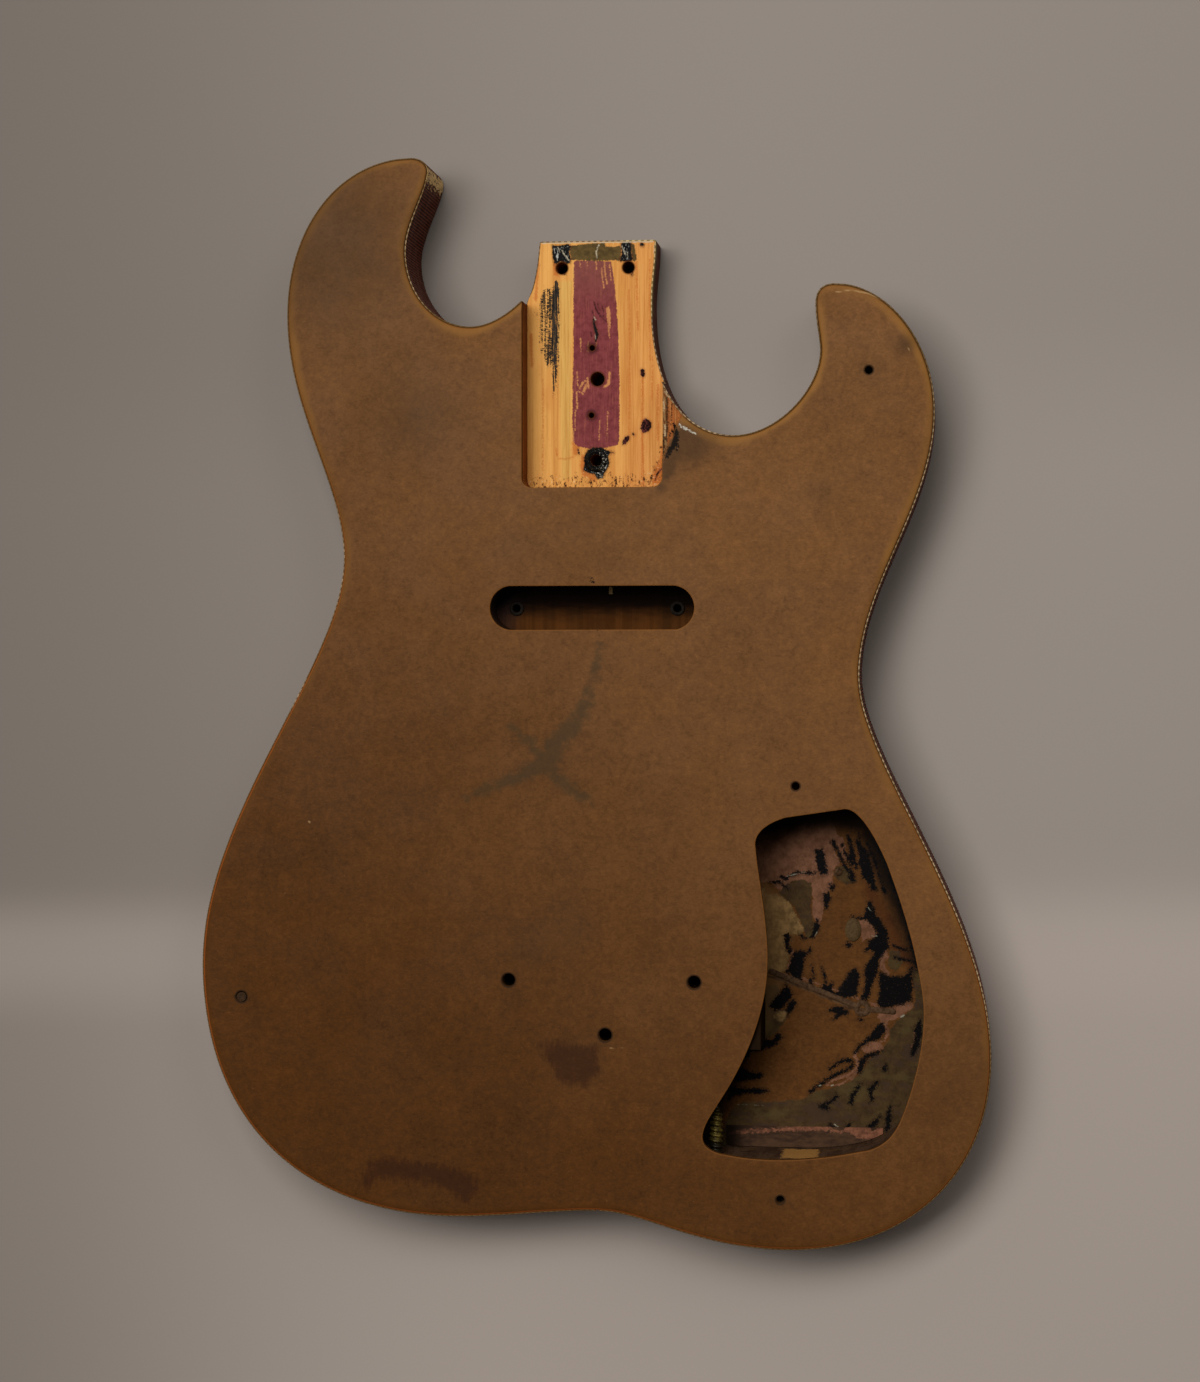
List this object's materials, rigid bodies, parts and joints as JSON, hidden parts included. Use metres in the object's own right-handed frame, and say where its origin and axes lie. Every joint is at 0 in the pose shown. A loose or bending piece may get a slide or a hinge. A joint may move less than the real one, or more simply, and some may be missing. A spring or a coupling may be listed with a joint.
{
  "type": "electric guitar body",
  "caption": "Stripped hollow electric guitar body: hardboard top and back on a pine frame, taped edge, neck pocket with tongue between two horns, pickup slot and control opening.",
  "frame": {"origin": "middle of the body's outline, at the flat back face it lies on", "axes": "+X toward the side with the control opening, +Y toward the horns and the neck pocket, +Z out of the top"},
  "size_m": [0.3448, 0.4728, 0.0413],
  "materials": {
    "hardboard": "pressed fibre board, worn matt brown with orange-brown rubbed edges and a few dark stains",
    "pocket_pine": "bare sawn pine with a painted maroon stripe and grey smears",
    "frame_pine": "raw pine, grey with dust and old paint inside the cavity",
    "vinyl_tape": "ribbed maroon-brown vinyl, cream where its edges are worn",
    "steel": "dull dusty steel",
    "brass": "tarnished brass",
    "black_rubber": "glossy black",
    "grey_felt": "dusty grey-olive",
    "old_glue": "dried glue under dusty pink paint"
  },
  "bodies": {
    "root": {"top_panel": "hardboard", "back_panel": "hardboard", "neck_block": "pocket_pine", "pickup_block": "frame_pine", "bridge_block": "frame_pine", "right_horn_block": "frame_pine", "left_horn_block": "frame_pine", "left_waist_rail": "frame_pine", "left_bout_rail": "frame_pine", "left_tail_rail": "frame_pine", "right_tail_rail": "frame_pine", "right_bout_rail": "frame_pine", "right_waist_rail": "frame_pine", "side_tape": "vinyl_tape", "pocket_insert": "black_rubber", "left_eyelet": "steel", "right_eyelet": "steel", "top_plug": "grey_felt", "floor_pad": "grey_felt", "earth_strap": "steel", "cavity_glue": "old_glue", "floor_screw": "steel", "tail_screw": "brass", "staple_1": "steel", "staple_2": "steel", "staple_3": "steel", "staple_4": "steel", "staple_5": "steel", "staple_6": "steel", "staple_7": "steel", "staple_8": "steel", "staple_9": "steel"}
  },
  "joints": []
}
